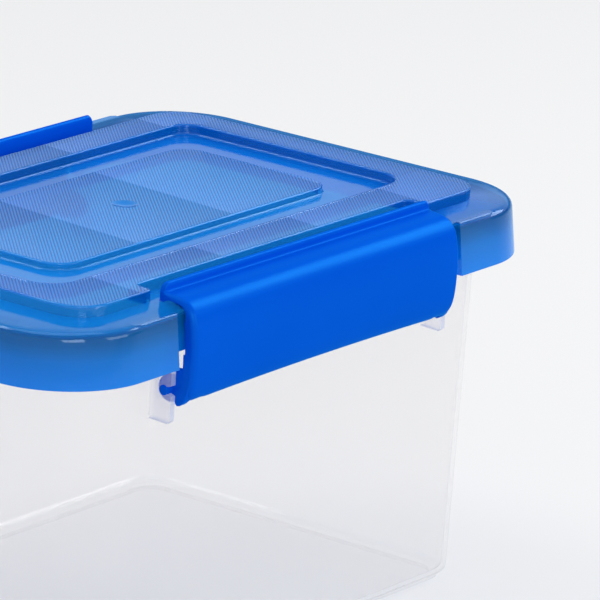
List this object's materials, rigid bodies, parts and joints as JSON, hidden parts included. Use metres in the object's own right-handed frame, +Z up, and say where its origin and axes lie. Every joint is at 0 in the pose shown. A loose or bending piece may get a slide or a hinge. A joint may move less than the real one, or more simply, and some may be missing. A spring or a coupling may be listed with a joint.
{
  "type": "latching storage tote",
  "caption": "Clear tapered storage tote with a tinted lift-off lid held by full-section side latches that swing out on pegs.",
  "frame": {"origin": "centre of the footprint at ground level", "axes": "+X along the long side, +Z up, front latch on the -Y side"},
  "size_m": [0.3468, 0.238, 0.1931],
  "materials": {
    "tub_clear": "clear glossy polypropylene",
    "lid_tint": "tinted glossy polypropylene with fine lined tops",
    "latch_blue": "opaque satin gloss"
  },
  "bodies": {
    "tote": {"tub": "tub_clear", "lid": "lid_tint"},
    "front_latch": {"front_latch": "latch_blue"},
    "back_latch": {"back_latch": "latch_blue"}
  },
  "joints": [
    {"name": "front_latch_hinge", "type": "hinge", "parent": "tote", "child": "front_latch", "pos_m": [0, -0.1058, 0.1471], "axis": [1, 0, 0], "range_deg": [0, 92]},
    {"name": "back_latch_hinge", "type": "hinge", "parent": "tote", "child": "back_latch", "pos_m": [0, 0.1058, 0.1471], "axis": [-1, 0, 0], "range_deg": [0, 92]}
  ]
}
